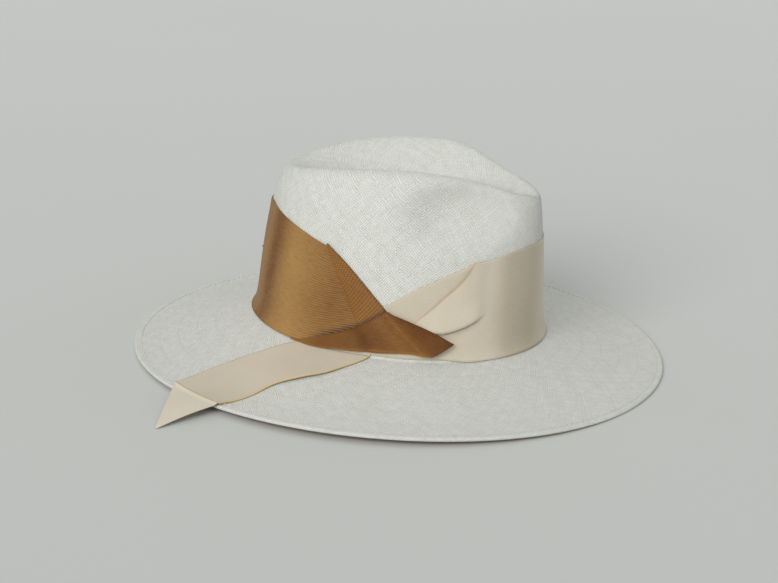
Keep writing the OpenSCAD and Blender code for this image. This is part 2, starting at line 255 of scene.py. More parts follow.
def woven_straw(name, pale, shade, gap, **sockets):
    """Plain weave on the diagonal: two families of strands, u + v and u - v, whose profile is a
    power of a sine, and the sign of the sines' product says which one is on top. A little noise
    bends the strands, each has its own tone, and every ring of strands ends in a faint line."""
    material, tree, shader = start_material(name, Roughness=0.62, Specular_IOR_Level=0.3,
                                            **sockets)
    spot = split_xyz(tree, add_node(tree, "ShaderNodeUVMap", uv_map="UVMap"))
    place = add_node(tree, "ShaderNodeTexCoord", output=3)
    drift = add_node(tree, "ShaderNodeTexNoise",
                     {"Vector": place, "Scale": 170.0, "Detail": 1.0}, output=1)
    drift = add_node(tree, "ShaderNodeVectorMath", (drift, (0.5, 0.5, 0.5)),
                     operation="SUBTRACT")
    stray = split_xyz(tree, drift)
    u, v = [sums(tree, "MULTIPLY_ADD", stray[i], STRAND_DRIFT, spot[i]) for i in (0, 1)]
    waves, names = [], []
    for strand in (sums(tree, "ADD", u, v), sums(tree, "SUBTRACT", u, v)):
        waves.append(sums(tree, "SINE", sums(tree, "MULTIPLY", strand, np.pi)))
        names.append(sums(tree, "FLOOR", strand))
    tops = [sums(tree, "POWER", sums(tree, "ABSOLUTE", w), 0.6) for w in waves]
    over = sums(tree, "GREATER_THAN", sums(tree, "MULTIPLY", *waves), 0.0)
    arches = [sums(tree, "MULTIPLY", tops[i], sums(tree, "MULTIPLY_ADD", tops[1 - i], 0.4, 0.6))
              for i in (0, 1)]
    height = add_node(tree, "ShaderNodeMix", {0: over, 2: arches[1], 3: arches[0]})
    lots = [add_node(tree, "ShaderNodeTexWhiteNoise", {"W": n}, noise_dimensions="1D")
            for n in names]
    lot = add_node(tree, "ShaderNodeMix", {0: over, 2: lots[1], 3: lots[0]})
    cloud = add_node(tree, "ShaderNodeTexNoise",
                     {"Vector": place, "Scale": 230.0, "Detail": 3.0, "Roughness": 0.65})
    cloud = between(tree, cloud, 0.3, 0.7)
    colour = tint(tree, sums(tree, "MULTIPLY_ADD", lot, 0.55, sums(tree, "MULTIPLY", cloud, 0.45)),
                  shade, pale)
    colour = tint(tree, between(tree, height, 0.10, 0.62), gap, colour)
    ring = sums(tree, "FRACT", sums(tree, "DIVIDE", v, STRANDS_PER_RING * 1.0))
    ring = sums(tree, "MULTIPLY", between(tree, ring, 0.0, 0.10, 1.0, 0.0),
                between(tree, split_xyz(tree, place)[2], -0.004, 0.002, 0.26, 0.05))
    colour = tint(tree, ring, colour, gap)
    tree.links.new(colour, shader.inputs["Base Color"])
    bump(tree, shader, sums(tree, "MULTIPLY_ADD", lot, 0.5, height), 0.85, 0.00042)
    return material


bleached_straw = woven_straw("bleached_straw", (0.87, 0.885, 0.85, 1), (0.71, 0.72, 0.66, 1),
                             (0.58, 0.57, 0.48, 1))
# Underside, hem and inside of the crown: the straw's own tan, made warmer and darker by painted warm
# shade that stands in for light passing through the straw into the shade under the brim.
straw_tan_and_warm_shade = woven_straw("underside_straw", (0.72, 0.60, 0.40, 1), (0.62, 0.49, 0.29, 1),
                        (0.47, 0.34, 0.17, 1), Subsurface_Weight=1.0,
                        Subsurface_Radius=(1.0, 0.66, 0.33), Subsurface_Scale=0.007)

around = np.linspace(0, 360, AROUND_STEPS + 1)[None, :]
bowl_rows = pinched(bowl(around, np.linspace(0, 1, BOWL_ROWS + 1)[:-1, None]))
wall_share = 0.5 + 0.5 * np.cos(np.linspace(0, np.pi, WALL_ROWS))[:, None]
wall_rows = pinched(plain_wall(around, wall_share))
brim_reach = np.linalg.norm(on_brim(around, 0 * around + 1) - on_brim(around, 0 * around), axis=-1)
brim_share = np.linspace(0, 1, BRIM_ROWS + 1)[1:, None] * (1 - HEM_THICKNESS / 2 / brim_reach)
brim_rows = on_brim(around, brim_share)
straw_top = np.concatenate([bowl_rows, wall_rows, brim_rows])
straw_normals = normals(straw_top, np.array([0, 0, 1.0]))
straw_normals[0] = (0, 0, 1)
straw_normals[:, 0] = straw_normals[:, -1] = (straw_normals[:, 0] + straw_normals[:, -1]) / 2
straw_under = straw_top - STRAW_THICKNESS * straw_normals

roll = np.radians(np.linspace(90, -90, 9)[1:])[:, None, None]
brim_out = on_brim(around, 0 * around + 1) - on_brim(around, 0 * around + 0.9)
brim_out[..., 2] = 0
brim_out /= np.linalg.norm(brim_out, axis=-1, keepdims=True)
edge_middle = brim_rows[-1:] - np.array([0, 0, HEM_THICKNESS / 2])
edge_rows = edge_middle + HEM_THICKNESS / 2 * (np.cos(roll) * brim_out
                                               + np.sin(roll) * np.array([0, 0, 1.0]))
hem_in = HEM_WIDTH - HEM_THICKNESS / 2
hem_rows = edge_rows[-1:] - brim_out * hem_in * np.array([0.5, 0.95, 1.0])[:, None, None]
hem_rows[-1, :, 2] += 0.0004
turned = brim_share[:, 0] < 1 - HEM_WIDTH / brim_reach.mean()
kept = len(bowl_rows) + len(wall_rows) + np.count_nonzero(turned)
under_rows = straw_under[:kept][::-1]
UNDER_FINE_ROWS = 34
under_rows = np.concatenate([under_rows[:UNDER_FINE_ROWS], under_rows[UNDER_FINE_ROWS::2],
                             straw_under[:1]])
shell = np.concatenate([straw_top, edge_rows, hem_rows, under_rows])

steps = np.linalg.norm(np.diff(shell, axis=0), axis=-1).mean(axis=1)
strand_v = np.concatenate([[0], np.cumsum(steps)]) / STRAND
ring_number = np.floor((strand_v[:-1] + strand_v[1:]) / 2 / STRANDS_PER_RING)
girths = np.linalg.norm(np.diff(shell, axis=1), axis=-1).sum(axis=1)
girths = (girths[:-1] + girths[1:]) / 2
count = np.zeros(len(girths))
for number in np.unique(ring_number):
    here = ring_number == number
    count[here] = max(6, round(girths[here].mean() / STRAND / 2) * 2)
column = np.linspace(0, 1, around.shape[1])
u_left = count[:, None] * column[None, :-1]
u_right = count[:, None] * column[None, 1:]
v_top = np.broadcast_to(strand_v[:-1, None], u_left.shape)
v_low = np.broadcast_to(strand_v[1:, None], u_left.shape)
shell_uvs = np.stack([np.stack([u_left, v_top], -1), np.stack([u_left, v_low], -1),
                      np.stack([u_right, v_low], -1), np.stack([u_right, v_top], -1)], -2)
inside = np.arange(len(shell) - 1) >= len(straw_top) + len(edge_rows) - 2
straw_hat_body = make_piece("straw_hat_body", shell.reshape(-1, 3), grid_quads(*shell.shape[:2]),
                            shell_uvs.reshape(-1, 2), [bleached_straw, straw_tan_and_warm_shade],
                            parts=np.repeat(inside, shell.shape[1] - 1))
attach(straw_hat_body, "hat")
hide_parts("straw_body")

# --------------------------------------------------------------------------
# Hem stitching: one row of off-white cotton thread that holds the turned-under brim edge.
# Each stitch is a short thread that rises out of the straw and dives back into it.
# --------------------------------------------------------------------------
THREAD_RADIUS = 0.0003


def thread_stitches(name, paths, lift_way, radius, material):
    """Stitches as thin tubes: paths is an array of stitch, point and place; each point gets a
    ring of six round the path, whose radius is the root of 1 less the fourth power of the
    place along the stitch, from -1 to 1, so that both ends close."""
    count, length = paths.shape[:2]
    along = np.gradient(paths, axis=1)
    along /= np.linalg.norm(along, axis=-1, keepdims=True)
    side = np.cross(along, lift_way)
    side /= np.linalg.norm(side, axis=-1, keepdims=True)
    high = np.cross(side, along)
    turn = np.radians(np.linspace(0, 360, 7))
    share = np.linspace(-1, 1, length)
    width = radius * np.sqrt(np.maximum(0, 1 - share ** 4))[None, :, None, None]
    ring = paths[:, :, None] + width * (np.cos(turn)[None, None, :, None] * side[:, :, None]
                                        + np.sin(turn)[None, None, :, None] * high[:, :, None])
    quads = grid_quads(length, 7)
    quads = (quads[None] + (np.arange(count) * length * 7)[:, None, None]).reshape(-1, 4)
    u = np.broadcast_to(share[None, :, None], ring.shape[:3])
    v = np.broadcast_to(turn[None, None, :], ring.shape[:3])
    uvs = np.stack([u, v], -1).reshape(-1, 2)[quads[:, ::-1]].reshape(-1, 2)
    return make_piece(name, ring.reshape(-1, 3), quads[:, ::-1], uvs, [material])


def twisted_thread(name, light, dark):
    """Two-ply thread: slanting stripes from the sine of along plus round."""
    material, tree, shader = start_material(name, Roughness=0.6, Sheen_Weight=0.2)
    along, turn = split_xyz(tree, add_node(tree, "ShaderNodeUVMap", uv_map="UVMap"))[:2]
    ply = sums(tree, "SINE", sums(tree, "MULTIPLY_ADD", along, 14.0,
                                  sums(tree, "MULTIPLY", turn, 2.0)))
    ply = between(tree, ply, -0.8, 0.6)
    tree.links.new(tint(tree, ply, dark, light), shader.inputs["Base Color"])
    bump(tree, shader, ply, 0.5, 0.0002)
    return material


hem_thread = twisted_thread("hem_thread", (0.83, 0.83, 0.77, 1), (0.68, 0.66, 0.58, 1))
HEM_STITCHES, HEM_STITCH_IN, MEAN_BRIM_WIDTH = 236, 0.8, 0.086
stitch_t = 360 * (np.arange(HEM_STITCHES)[:, None] + np.linspace(0.1, 0.78, 6)[None, :])
stitch_t = stitch_t / HEM_STITCHES
stitch_r = 1 - HEM_STITCH_IN * HEM_WIDTH / MEAN_BRIM_WIDTH
rise = THREAD_RADIUS * 1.2 * np.sin(np.linspace(0, np.pi, 6))
hem_path = on_brim(stitch_t, 0 * stitch_t + stitch_r, rise)
hem_stitches = thread_stitches("hem_stitches", hem_path, np.array([0, 0, 1.0]), THREAD_RADIUS,
                               hem_thread)
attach(hem_stitches, "hat")
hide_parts("brim_hem_stitching")

# --------------------------------------------------------------------------
# Sweatband: woven cotton band inside the crown's foot, sewn along its lower edge, with a small
# grosgrain bow over the join at the back and a blank woven tab on the wearer's left.
# --------------------------------------------------------------------------
BAND_HEIGHT, BAND_THICKNESS, BAND_FOOT, BAND_GAP = 0.032, 0.0012, 0.0008, 0.0002
BAND_LEAN, BAND_SEAM = 0.012, 0.003


def cloth(name, face, thickness, uvs, hint, material, marks=None):
    """Closed sheet: a grid of outer points, a copy of it moved in along the grid's normals by
    the thickness, and a strip round the rim. hint is a way that its outer side looks."""
    slope = np.cross(np.gradient(face, axis=0), np.gradient(face, axis=1))
    marks = dict(marks or {})
    if np.sum(slope * hint) < 0:
        face, uvs = face[::-1], uvs[::-1]
        marks = {key: value[::-1] for key, value in marks.items()}
        hint = hint[::-1] if np.ndim(hint) == 3 and len(hint) == len(face) else hint
    inner = face - thickness * normals(face, hint)
    rows, cols = face.shape[:2]
    number = np.arange(rows * cols).reshape(rows, cols)
    rim = np.concatenate([number[0, ::-1], number[1:, 0], number[-1, 1:], number[-2::-1, -1]])
    p, q = rim[:-1], rim[1:]
    front = grid_quads(rows, cols)
    quads = np.concatenate([front, front[:, ::-1] + rows * cols,
                            np.stack([q, p, p + rows * cols, q + rows * cols], -1)])
    points = np.concatenate([face.reshape(-1, 3), inner.reshape(-1, 3)])
    pair = np.concatenate([uvs.reshape(-1, 2)] * 2)[quads].reshape(-1, 2)
    marks = {key: np.concatenate([value.ravel()] * 2) for key, value in marks.items()}
    return make_piece(name, points, quads, pair, [material], marks=marks)


def cloth_uvs(face, across):
    """Uv in metres: the mean run along the grid's rows, and across given for each point."""
    run = np.linalg.norm(np.diff(face, axis=0), axis=-1).mean(axis=1)
    u = np.concatenate([[0], np.cumsum(run)])[:, None] + 0 * across
    return np.stack([u, across + 0 * u], -1)


def mark(tree, name):
    """The value that the mesh holds for each point under that name."""
    return add_node(tree, "ShaderNodeAttribute", output=2, attribute_name=name)


CHAIN_ROW, CHAIN_LENGTH = 0.0015, 0.0019


def ribbed_cloth(name, lit, deep, pitch, roughness, depth=0.35, gold=None, grain=0.25,
                 sheen=0.12, base=0.75, spread=0.4):
    """Grosgrain: ribs along the cloth, the absolute sine of v over pitch, crossed by finer yarns,
    a sine of u, with a soft cloud of dye. tone, from base - spread / 2, is a weighted sum of rib,
    flecks and cloud, and mixes deep with lit. The marks: shade takes from the tone, as painted
    shade where it is above nought and painted sheen where below; gold lays the selvedge's colour
    over it, and on the cream end's crease a painted highlight; the mark for the knot's edge lays a
    near-black painted shadow, strongest between the ribs; flat presses the ribs out, and chain
    adds rows of short raised stitches, the product of two sines."""
    material, tree, shader = start_material(name, Roughness=roughness, Sheen_Weight=sheen,
                                            Sheen_Roughness=0.4, Specular_IOR_Level=0.18)
    uv = add_node(tree, "ShaderNodeUVMap", uv_map="UVMap")
    u, v = split_xyz(tree, uv)[:2]
    waver = add_node(tree, "ShaderNodeTexNoise", {"Vector": uv, "Scale": 60.0, "Detail": 2.0})
    rib = sums(tree, "MULTIPLY_ADD", waver, 0.9, sums(tree, "DIVIDE", v, pitch))
    rib = sums(tree, "ABSOLUTE", sums(tree, "SINE", sums(tree, "MULTIPLY", rib, np.pi)))
    yarn = sums(tree, "SINE", sums(tree, "DIVIDE", u, pitch / 11))
    stretched = add_node(tree, "ShaderNodeVectorMath", (uv, (180.0, 900.0, 1.0)),
                         operation="MULTIPLY")
    fleck = add_node(tree, "ShaderNodeTexNoise", {"Vector": stretched, "Scale": 1.0,
                                                  "Detail": 2.0})
    where = add_node(tree, "ShaderNodeTexCoord", output=3)
    cloud = add_node(tree, "ShaderNodeTexNoise", {"Vector": where, "Scale": 24.0, "Detail": 2.0})
    flat = mark(tree, "flat")
    rib = sums(tree, "MULTIPLY_ADD", sums(tree, "SUBTRACT", 0.64, rib), flat, rib)
    tone = sums(tree, "MULTIPLY_ADD", between(tree, rib, 0.1, 0.8), grain,
                sums(tree, "MULTIPLY_ADD", between(tree, fleck, 0.3, 0.7), 0.3,
                     sums(tree, "MULTIPLY", between(tree, cloud, 0.3, 0.7), 0.7 - grain)))
    shade = mark(tree, "shade")
    chain = mark(tree, "chain")
    row = sums(tree, "DIVIDE", v, CHAIN_ROW)
    step = sums(tree, "MULTIPLY_ADD", sums(tree, "FLOOR", row), 0.5,
                sums(tree, "DIVIDE", u, CHAIN_LENGTH))
    stitch = sums(tree, "MULTIPLY", sums(tree, "SINE", sums(tree, "MULTIPLY", step, 2 * np.pi)),
                  sums(tree, "ABSOLUTE", sums(tree, "SINE", sums(tree, "MULTIPLY", row, np.pi))))
    stitch = sums(tree, "MULTIPLY", stitch, chain)
    tone = sums(tree, "MULTIPLY_ADD", tone, spread, base - spread / 2)
    tone = sums(tree, "MULTIPLY_ADD", stitch, 0.32, tone)
    colour = tint(tree, sums(tree, "SUBTRACT", tone, sums(tree, "MULTIPLY", shade, 0.75)),
                  deep, lit)
    # Painted shadow cast by the knot's upper edge on the cloth above it: near black, strongest between
    # the ribs.
    painted_knot_shadow = mark(tree, "painted_knot_shadow")
    painted_knot_shadow = sums(tree, "MULTIPLY", painted_knot_shadow, between(tree, rib, 0.35, 0.9, 1.0, 0.25))
    colour = tint(tree, painted_knot_shadow, colour, (0.05, 0.04, 0.035, 1))
    # Gold: the selvedge's toasted colour, and on the cream end's crease a painted highlight, dashed
    # along u.
    if gold:
        trim = mark(tree, "gold")
        dash = between(tree, sums(tree, "SINE", sums(tree, "DIVIDE", u, 0.00025)), -1.0, 1.0,
                       0.65, 1.0)
        colour = tint(tree, sums(tree, "MULTIPLY", trim, dash), colour, gold)
    tree.links.new(colour, shader.inputs["Base Color"])
    height = sums(tree, "MULTIPLY_ADD", yarn, 0.15, sums(tree, "ADD", rib, stitch))
    bump(tree, shader, height, depth, 0.0004)
    return material


band_cotton = ribbed_cloth("sweatband_cotton", (0.80, 0.77, 0.70, 1), (0.62, 0.58, 0.49, 1),
                           0.0016, 0.75)
band_t = np.linspace(0, 360, 241)[:, None]
band_z = np.linspace(0, BAND_HEIGHT, 19)[None, :]
band_off = STRAW_THICKNESS + BAND_GAP + BAND_LEAN * band_z
band_face = on_wall(band_t, BAND_FOOT + band_z, -(band_off + BAND_THICKNESS))
sweatband = cloth("sweatband_woven", band_face, BAND_THICKNESS,
                  cloth_uvs(band_face, band_z + 0 * band_t), -outward(band_t), band_cotton)
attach(sweatband, "hat")
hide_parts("sweatband")

band_thread = twisted_thread("band_thread", (0.70, 0.66, 0.55, 1), (0.45, 0.40, 0.30, 1))
BAND_STITCHES = 150
seam_t = 360 * (np.arange(BAND_STITCHES)[:, None] + np.linspace(0.1, 0.75, 6)[None, :])
seam_t = seam_t / BAND_STITCHES
seam_rise = THREAD_RADIUS * (1.1 + 0.9 * np.sin(np.linspace(0, np.pi, 6)))
seam_off = STRAW_THICKNESS + BAND_GAP + BAND_THICKNESS + BAND_LEAN * BAND_SEAM + seam_rise
seam = on_wall(seam_t, 0 * seam_t + BAND_FOOT + BAND_SEAM, -seam_off)
sweatband_stitches = thread_stitches("sweatband_stitches", seam, -outward(seam_t),
                                     THREAD_RADIUS, band_thread)
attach(sweatband_stitches, "hat")
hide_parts("sweatband_stitching")

bow_cloth = ribbed_cloth("bow_grosgrain", (0.70, 0.62, 0.48, 1), (0.50, 0.42, 0.29, 1),
                         0.0011, 0.6)
BOW_Z, BOW_HEIGHT, BOW_LOOP, BOW_DEPTH, BOW_THICKNESS = 0.010, 0.005, 0.011, 0.0045, 0.0004
bow_y = FOOT_HALF_LENGTH - STRAW_THICKNESS - BAND_GAP - BAND_THICKNESS - 0.0046
bow_turn = np.radians(np.linspace(-180, 180, 81))[:, None]
bow_rise = np.linspace(0, 1, 9)[None, :]
figure = np.stack([(BOW_LOOP + 0.0008) * np.sin(bow_turn) + 0 * bow_rise,
                   bow_y - 0.5 * BOW_DEPTH * np.sin(2 * bow_turn) * (1 - 0.1 * bow_rise),
                   BOW_Z + BOW_HEIGHT * bow_rise + 0.0004 * np.sin(bow_turn) ** 2], -1)
figure[..., 1] += 0.0003 * np.cos(bow_turn)
bow_out = np.stack([np.cos(2 * bow_turn), -np.cos(bow_turn), 0 * bow_turn], -1)
bow = cloth("sweatband_bow_loops", figure, BOW_THICKNESS,
            cloth_uvs(figure, BOW_HEIGHT * bow_rise + 0 * bow_turn), bow_out + 0 * figure,
            bow_cloth)
WIND_HALF_WIDTH, WIND_DEPTH, WIND_RISE = 0.0019, 0.0018, 0.0031
wind_turn = np.radians(np.linspace(0, 360, 33))[:, None]
wind_side = np.linspace(-1, 1, 9)[None, :]
wind_width = WIND_HALF_WIDTH * (1 - 0.15 * np.cos(wind_side * np.pi / 2))
wind_face = np.stack([wind_side * wind_width + 0 * wind_turn,
                      bow_y + WIND_DEPTH * np.cos(wind_turn) + 0 * wind_width,
                      BOW_Z + BOW_HEIGHT / 2 + WIND_RISE * np.sin(wind_turn) + 0 * wind_width], -1)
wind_out = np.stack([0 * wind_turn, np.cos(wind_turn), np.sin(wind_turn)], -1)
bow_knot = cloth("sweatband_bow_knot", wind_face, BOW_THICKNESS,
                 cloth_uvs(wind_face, WIND_HALF_WIDTH * wind_side + 0 * wind_turn), wind_out,
                 bow_cloth)
for part in (bow, bow_knot):
    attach(part, "hat")
    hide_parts("sweatband_bow")

tab_cloth = ribbed_cloth("tab_cloth", (0.88, 0.87, 0.82, 1), (0.76, 0.74, 0.67, 1), 0.0005, 0.7)
TAB_LOW, TAB_HIGH, TAB_THICKNESS, TAB_GAP, TAB_CURL = 0.008, 0.022, 0.0003, 0.0004, 0.0003
tab_t = np.linspace(262, 274, 25)[:, None]
tab_z = np.linspace(TAB_LOW, TAB_HIGH, 17)[None, :]
tab_share = (tab_z - (TAB_LOW + TAB_HIGH) / 2) / ((TAB_HIGH - TAB_LOW) / 2)
tab_off = STRAW_THICKNESS + BAND_GAP + BAND_THICKNESS + BAND_LEAN * tab_z + 2 * TAB_GAP
tab_off = tab_off + TAB_CURL * tab_share ** 2
tab_face = on_wall(tab_t, tab_z, -tab_off)
blank_tab = cloth("blank_woven_tab", tab_face, TAB_THICKNESS,
                  cloth_uvs(tab_face, tab_z + 0 * tab_t), -outward(tab_t), tab_cloth)
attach(blank_tab, "hat")
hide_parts("size_tab")

# --------------------------------------------------------------------------
# Cream ribbon round the front: 76 mm cotton grosgrain with a toasted golden selvedge, pulled
# round the crown and pleated on the wearer's right, where its slanting edge lies on a layer of
# the same ribbon that comes out from under the brown one.
# --------------------------------------------------------------------------
RIBBON_THICKNESS, RIBBON_WIDTH, UNDER_THICKNESS = 0.0005, 0.076, 0.0004
UNDER_FROM, UNDER_TO, UNDER_FOOT = 44, 97, 0.002
UNDER_TOP = [(44, 0.066), (48.8, 0.066), (54, 0.062), (63, 0.0558), (71.8, 0.048),
             (81.2, 0.0375), (97, 0.020)]
SLANT = [(49.0, 0.0666), (51.5, 0.0588), (55.5, 0.0512), (60.3, 0.0438), (64.8, 0.036),
         (71, 0.0262), (77, 0.015), (82, 0.0045)]
FRONT_FAR_T, PLEAT_RISE, WAVE_DEPTH = -130, 0.0019, 0.0003


def through(points, share):
    """Smooth line through points, share 0 at the first and 1 at the last: each stretch is the
    cubic whose slope at a point is half the step between that point's neighbours."""
    p = np.array(points, float)
    p = np.vstack([2 * p[0] - p[1], p, 2 * p[-1] - p[-2]])
    x = np.clip(share, 0, 1) * (len(points) - 1)
    i = np.minimum(np.floor(x).astype(int), len(points) - 2)
    f = (x - i)[..., None]
    a, b, c, d = p[i], p[i + 1], p[i + 2], p[i + 3]
    return b + 0.5 * f * (c - a + f * (2 * a - 5 * b + 4 * c - d + f * (3 * (b - c) + d - a)))


def ease(x, low, high):
    """Rises smoothly from 0 at low to 1 at high: three times the square less twice the cube."""
    k = np.clip((x - low) / (high - low), 0, 1)
    return k * k * (3 - 2 * k)


def ribbon_foot(z):
    """How far a ribbon's foot leans out over the start of the brim: falls off exponentially."""
    return 0.0012 * np.exp(-z / 0.006)


cream_grosgrain = ribbed_cloth("cream_grosgrain", (0.76, 0.69, 0.56, 1), (0.34, 0.28, 0.19, 1),
                               0.0012, 0.55, depth=0.15, gold=(0.58, 0.38, 0.12, 1), grain=0.2,
                               base=0.76, spread=0.22)

under_s = np.linspace(0, 1, 61)[:, None]
under_q = np.linspace(0, 1, 25)[None, :]
under_t = UNDER_FROM + (UNDER_TO - UNDER_FROM) * under_s
under_top = np.interp(under_t, *np.transpose(UNDER_TOP))
under_z = UNDER_FOOT + (under_top - UNDER_FOOT) * under_q
under_face = on_wall(under_t + 0 * under_q, under_z, 0.0005 + ribbon_foot(under_z) * 0.8)
cream_under = cloth("cream_ribbon_under_layer", under_face, UNDER_THICKNESS,
                    cloth_uvs(under_face, RIBBON_WIDTH * under_q + 0 * under_s),
                    outward(under_t + 0 * under_q), cream_grosgrain,
                    marks={"shade": 0.16 + 0 * under_face[..., 0]})
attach(cream_under, "hat")

near_edge = np.array([0, 0.0012, 0.0024, 0.0040, 0.0060, 0.0085])
front_a = np.concatenate([near_edge, np.linspace(0.012, 1, 170)])[:, None]
front_q = np.linspace(0, 1, 49)[None, :]
slant_line = through(SLANT[::-1], front_q)
slant_t, slant_z = slant_line[..., 0], slant_line[..., 1]
front_t = slant_t * (1 - front_a) + FRONT_FAR_T * front_a
front_low = 0.0004 + 0.0045 * ease(front_t, 46, 82)
front_high = 0.0715 - 0.005 * ease(front_t, 34, 49)
front_z = front_low + (front_high - front_low) * front_q
settle = ease(front_a, 0.0, 0.17)
front_z = slant_z * (1 - settle) + front_z * settle
pleat_line = 0.0192 + 0.0093 * np.clip((62 - front_t) / 17, 0, 1.6) ** 1.7
pleat_force = ease(front_t, 41, 48) * (1 - ease(front_t, 60, 70))
above_pleat = front_z - pleat_line
pleat = pleat_force * (ease(above_pleat, -0.0003, 0.0005)
                       - 0.45 * ease(above_pleat, 0.001, 0.016)) * PLEAT_RISE
waves = WAVE_DEPTH * np.sin(np.radians(front_t * 9)) * ease(front_z, 0.0, 0.03) \
    * ease(front_t, 5, 30)
lay = 0.0007 + 0.0005 * ease(front_t, 38, 50)
front_face = on_wall(front_t, front_z, lay + pleat + waves + ribbon_foot(front_z) * 0.8)
METRES_PER_DEGREE = 0.0016
edge_gap = front_a * (slant_t - FRONT_FAR_T) * METRES_PER_DEGREE
front_gold = 0.8 * (1 - ease(edge_gap, 0.0003, 0.0010)) + 0 * front_q
front_shade = 1.2 * pleat_force * np.exp(-((above_pleat + 0.0003) / 0.0006) ** 2) \
    + 0.25 * pleat_force * np.exp(-((above_pleat + 0.0020) / 0.0022) ** 2)
front_shade = front_shade + 0.42 * ease(front_t, 41, 28) * ease(front_t, -4, 17) \
    + 0.10 * np.exp(-((front_t - 49) / 4) ** 2) * ease(front_z, 0.030, 0.045)
cream_front = cloth("cream_ribbon_front", front_face, RIBBON_THICKNESS,
                    cloth_uvs(front_face, RIBBON_WIDTH * front_q + 0 * front_a),
                    outward(front_t), cream_grosgrain,
                    marks={"gold": front_gold, "shade": front_shade})
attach(cream_front, "hat")
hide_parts("cream_ribbon_band")

# --------------------------------------------------------------------------
# Brown ribbon round the back: 76 mm rayon grosgrain with strong ribs and a satin sheen. Its
# front end is folded over on a slope, and the fold is caught under a twisted knot.
# --------------------------------------------------------------------------
brown_grosgrain = ribbed_cloth("brown_grosgrain", (0.46, 0.265, 0.092, 1),
                               (0.15, 0.055, 0.010, 1), 0.0018, 0.5, depth=0.4, grain=0.45,
                               sheen=0.05, base=0.62, spread=0.75)
brown_satin = ribbed_cloth("brown_satin_side", (0.37, 0.175, 0.042, 1),
                           (0.12, 0.040, 0.007, 1), 0.0010, 0.45, depth=0.3, grain=0.4,
                           sheen=0.05, base=0.55, spread=0.7)
KNOT_TOP = [(121, 0.0009), (116, 0.0025), (111, 0.0058), (104.8, 0.0104), (99.5, 0.0142),
            (91.8, 0.0209), (82.3, 0.0320), (80.0, 0.0312), (71.8, 0.0262), (62.8, 0.020),
            (55.5, 0.0138)]
WRAP_END = [(86, 0.0045), (88, 0.0180), (92, 0.0310), (97, 0.0425), (103, 0.0545),
            (110.0, 0.0680)]
FOLD_EDGE = [(78, 0.0245), (82.5, 0.0328), (91.2, 0.0468), (100.5, 0.0598), (110, 0.0696)]
FOLD_INNER = [(92.5, 0.018), (96, 0.0292), (100, 0.042), (104.5, 0.0535), (109.8, 0.0682)]
WRAP_FAR_T, WRAP_DIP_AND_SHADE_T, GATHER_POINTS = 238, 147, 7


def knot_shadow(t, z):
    """How close a point lies above the knot's upper edge: an eased fall from 1 at 0.5 mm to 0
    at 4.2 mm, faded out towards the knot's root."""
    line = np.array(KNOT_TOP[:GATHER_POINTS])[::-1]
    gap = z - np.interp(t, line[:, 0], line[:, 1])
    return (1 - ease(gap, 0.0005, 0.0042)) * ease(t, 116, 101) * (t > 80)


wrap_a = np.linspace(0, 1, 201)[:, None]
wrap_q = np.linspace(0, 1, 57)[None, :]
wrap_end = through(WRAP_END, wrap_q)
wrap_t = WRAP_FAR_T * (1 - wrap_a) + wrap_end[..., 0] * wrap_a
wrap_high = 0.0688 + 0.0104 * np.clip((wrap_t - 108) / 47, 0, 1) ** 0.85 \
    - 0.0035 * ease(wrap_t, 157, 172)
wrap_low = 0.0004 + 0.004 * ease(wrap_t, 118, 92)
wrap_z = wrap_low + (wrap_high - wrap_low) * wrap_q
settle = ease(wrap_a, 0.80, 1.0)
wrap_z = wrap_z + settle * (wrap_end[..., 1] - wrap_z[-1])
dip_and_shade_band = np.exp(-((wrap_t - WRAP_DIP_AND_SHADE_T + 6 * wrap_q) / 7.5) ** 2)
lapped = 1 - ease(wrap_t, 112, 124) * (1 - ease(wrap_t, 226, 232))
wrap_off = 0.0007 + ribbon_foot(wrap_z) - 0.0003 * dip_and_shade_band + 0.0009 * lapped
wrap_off = wrap_off + 0.0004 * ease(wrap_q, 0.9, 1.0) * ease(wrap_t, 120, 140)
wrap_face = on_wall(wrap_t, wrap_z, wrap_off)
# Painted shade and sheen of the satin turning from the light: a dark band along the shallow dip, a
# painted sheen highlight near 127 degrees, darker towards the fold, and darker again between about 160
# and 190 degrees.
wrap_shade = 0.10 + 0.66 * dip_and_shade_band - 0.17 * np.exp(-((wrap_t - 127) / 7) ** 2) \
    + 0.42 * ease(wrap_t, 124, 103) + 0.34 * ease(wrap_t, 148, 162) * ease(wrap_t, 200, 180)
brown_wrap = cloth("brown_ribbon_wrap", wrap_face, RIBBON_THICKNESS,
                   cloth_uvs(wrap_face, RIBBON_WIDTH * wrap_q + 0 * wrap_a),
                   outward(wrap_t), brown_grosgrain,
                   marks={"shade": wrap_shade, "painted_knot_shadow": knot_shadow(wrap_t, wrap_z),
                          "flat": 0.3 + 0.6 * ease(wrap_t, 106, 135)})
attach(brown_wrap, "hat")
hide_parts("brown_ribbon_band")

